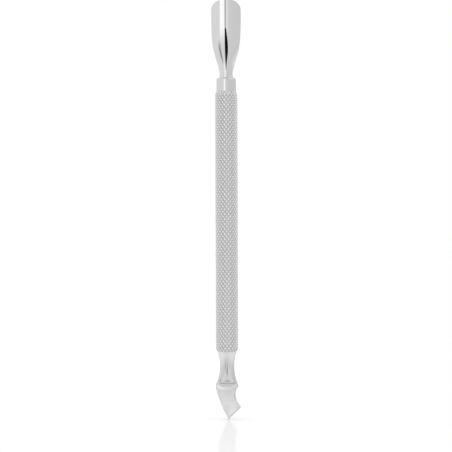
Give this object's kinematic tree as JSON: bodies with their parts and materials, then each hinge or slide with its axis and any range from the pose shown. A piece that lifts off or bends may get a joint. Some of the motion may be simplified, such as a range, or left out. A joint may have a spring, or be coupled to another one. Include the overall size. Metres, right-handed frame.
{
  "type": "cuticle pusher",
  "caption": "Double-ended steel cuticle pusher: knurled round handle, collared scoop-shaped pusher at one end and a flat notched, slant-edged scraper blade at the other.",
  "frame": {"origin": "on the tool's axis at the middle of the knurled handle", "axes": "+Z along the tool from the blade towards the spoon; -Y is the side that the spoon's rounded back and the bevelled face of the blade look towards; +X is the side the blade's cutting edge slants towards"},
  "size_m": [0.009, 0.0068, 0.1256],
  "materials": {
    "knurled_steel": "bright diamond-knurled stainless steel",
    "collar_steel": "turned and mirror-polished stainless steel",
    "spoon_steel": "forged and mirror-polished stainless steel",
    "blade_steel": "forged, mirror-polished stainless steel with ground bevels"
  },
  "bodies": {
    "root": {"handle_sleeve": "knurled_steel", "spoon_collar": "collar_steel", "spoon_tip": "spoon_steel", "blade_tip": "blade_steel"}
  },
  "joints": []
}
